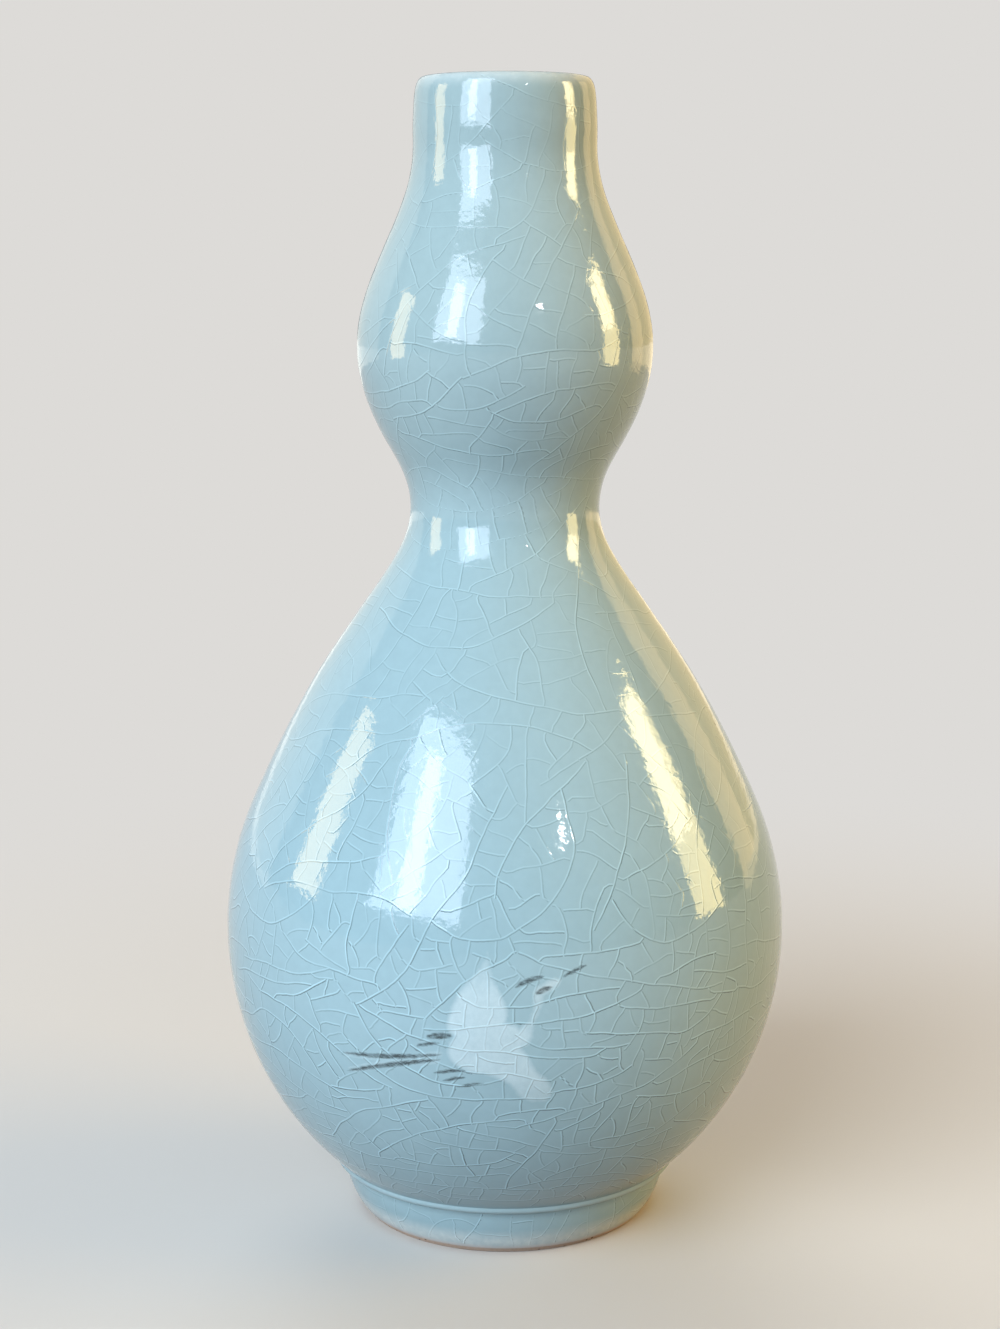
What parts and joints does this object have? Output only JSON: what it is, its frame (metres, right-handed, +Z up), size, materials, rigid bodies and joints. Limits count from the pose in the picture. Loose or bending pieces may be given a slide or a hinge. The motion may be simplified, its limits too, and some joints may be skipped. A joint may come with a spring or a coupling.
{
  "type": "double gourd vase",
  "caption": "Small double gourd bud vase in crackled celadon, with a drawn-in waist, straight neck, low foot ring and a flying crane inlaid under the glaze",
  "frame": {"origin": "centre of the face that the foot ring rests on", "axes": "+Z up along the vase's axis, the crane faces -Y, +X to the viewer's right"},
  "size_m": [0.092, 0.092, 0.185],
  "materials": {
    "stoneware": "bare fired clay, matt",
    "luting_slip": "fired slip, matt",
    "celadon_glaze": "glossy, finely crackled",
    "white_slip": "fired white slip under the glaze",
    "black_slip": "fired black slip under the glaze"
  },
  "bodies": {
    "root": {"lower_bulb": "stoneware", "upper_bulb": "stoneware", "foot_ring": "stoneware", "waist_joint_slip": "luting_slip", "foot_joint_slip": "luting_slip", "outer_glaze": "celadon_glaze", "inner_glaze": "celadon_glaze", "base_glaze": "celadon_glaze", "crane_body": "white_slip", "crane_raised_wing": "white_slip", "crane_lower_wing": "white_slip", "crane_neck": "white_slip", "crane_head": "white_slip", "crane_eye_band": "black_slip", "crane_beak": "black_slip", "crane_crown": "black_slip", "crane_legs": "black_slip", "crane_tail_quills": "black_slip", "crane_wing_quills": "black_slip"}
  },
  "joints": []
}
